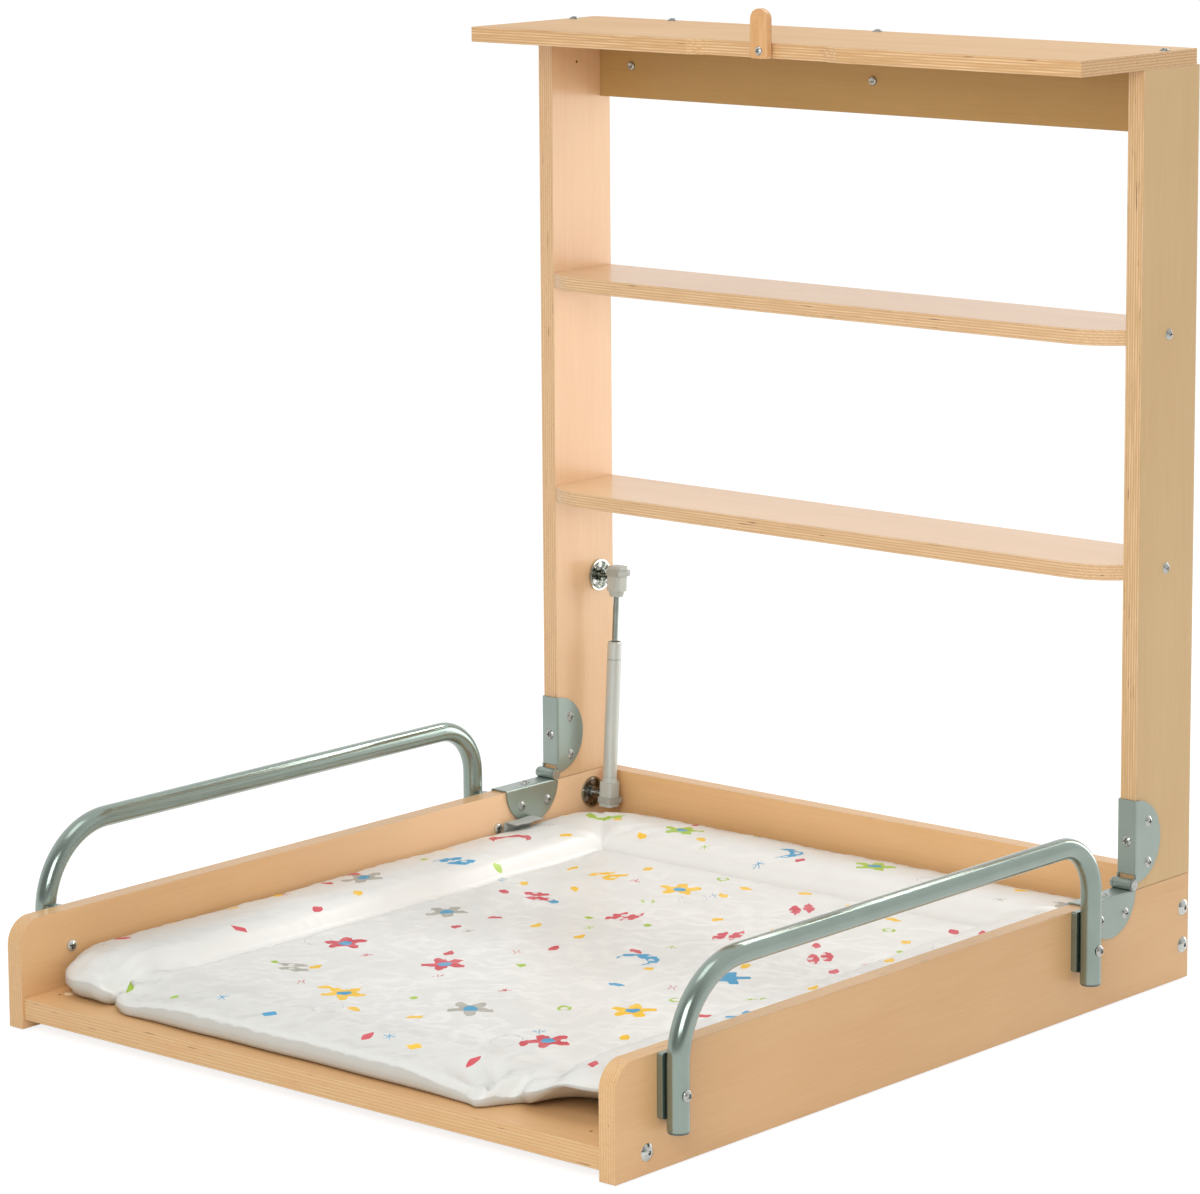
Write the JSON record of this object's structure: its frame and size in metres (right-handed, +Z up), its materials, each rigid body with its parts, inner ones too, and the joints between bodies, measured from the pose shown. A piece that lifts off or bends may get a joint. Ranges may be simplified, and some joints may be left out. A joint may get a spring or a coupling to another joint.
{
  "type": "folding changing station",
  "caption": "Wall-mounted plywood frame with shelves and a hinged fold-up changing tray that has guard rails, a padded mat, a gas strut and a wooden turn latch.",
  "frame": {"origin": "middle wall screw hole of the wall rail, on the wall plane (the rail's back face)", "axes": "+X along the wall, +Y into the wall (-Y into the room), +Z up"},
  "size_m": [0.8078, 0.846, 0.9294],
  "materials": {
    "plywood": "satin",
    "latch_wood": "satin",
    "grey_paint": "satin",
    "zinc": "satin",
    "chrome": "polished",
    "cylinder_paint": "satin",
    "grey_plastic": "matte",
    "mat_vinyl": "satin",
    "strap": "matte"
  },
  "bodies": {
    "frame": {"left_upright": "plywood", "right_upright": "plywood", "top_board": "plywood", "wall_rail": "plywood", "rail_dowels": "plywood", "upper_shelf": "plywood", "lower_shelf": "plywood", "shelf_screws": "zinc", "top_screws": "zinc", "left_frame_leaf": "grey_paint", "right_frame_leaf": "grey_paint", "frame_leaf_screws": "zinc", "left_hinge_pin": "zinc", "right_hinge_pin": "zinc", "strut_upper_stud": "chrome", "upper_plate_screws": "chrome", "latch_screw": "zinc", "latch_washer": "zinc"},
    "tray": {"left_side_board": "plywood", "right_side_board": "plywood", "rear_board": "plywood", "deck": "plywood", "left_tray_leaf": "grey_paint", "right_tray_leaf": "grey_paint", "tray_leaf_screws": "zinc", "left_guard_rail": "grey_paint", "right_guard_rail": "grey_paint", "rail_plugs": "grey_plastic", "rail_spacers": "grey_paint", "rail_bolts": "zinc", "rail_nuts": "zinc", "board_bolts": "zinc", "barrel_nuts": "zinc", "deck_screws": "zinc", "strut_lower_plate": "chrome", "lower_plate_screws": "chrome", "mat": "mat_vinyl", "mat_straps": "strap"},
    "latch_bar": {"latch": "latch_wood"},
    "strut_rod_end": {"strut_rod": "chrome", "strut_piston": "zinc", "strut_upper_socket": "grey_plastic", "strut_upper_clip": "zinc"},
    "strut_cylinder_end": {"strut_cylinder": "cylinder_paint", "strut_rod_guide": "grey_plastic", "strut_lower_stud": "chrome", "strut_lower_socket": "grey_plastic", "strut_lower_clip": "zinc"}
  },
  "joints": [
    {"name": "tray_fold", "type": "hinge", "parent": "frame", "child": "tray", "pos_m": [0, -0.0962, -0.7392], "axis": [-1, 0, 0], "range_deg": [0, 90.8]},
    {"name": "latch_turn", "type": "hinge", "parent": "frame", "child": "latch_bar", "pos_m": [0, -0.19025, 0.0405], "axis": [0, -1, 0], "continuous": true},
    {"name": "strut_swing", "type": "hinge", "parent": "frame", "child": "strut_rod_end", "pos_m": [-0.332, -0.022, -0.537], "axis": [-1, 0, 0], "range_deg": [0, 18.07]},
    {"name": "strut_slide", "type": "slide", "parent": "strut_rod_end", "child": "strut_cylinder_end", "axis": [0, -0.0647, -0.9979], "range_m": [0, 0.04915]}
  ],
  "couplings": [
    {"joint": "strut_swing", "follows": "tray_fold", "ratio": 0.1989},
    {"joint": "strut_slide", "follows": "tray_fold", "m_per_rad": 0.031009}
  ]
}
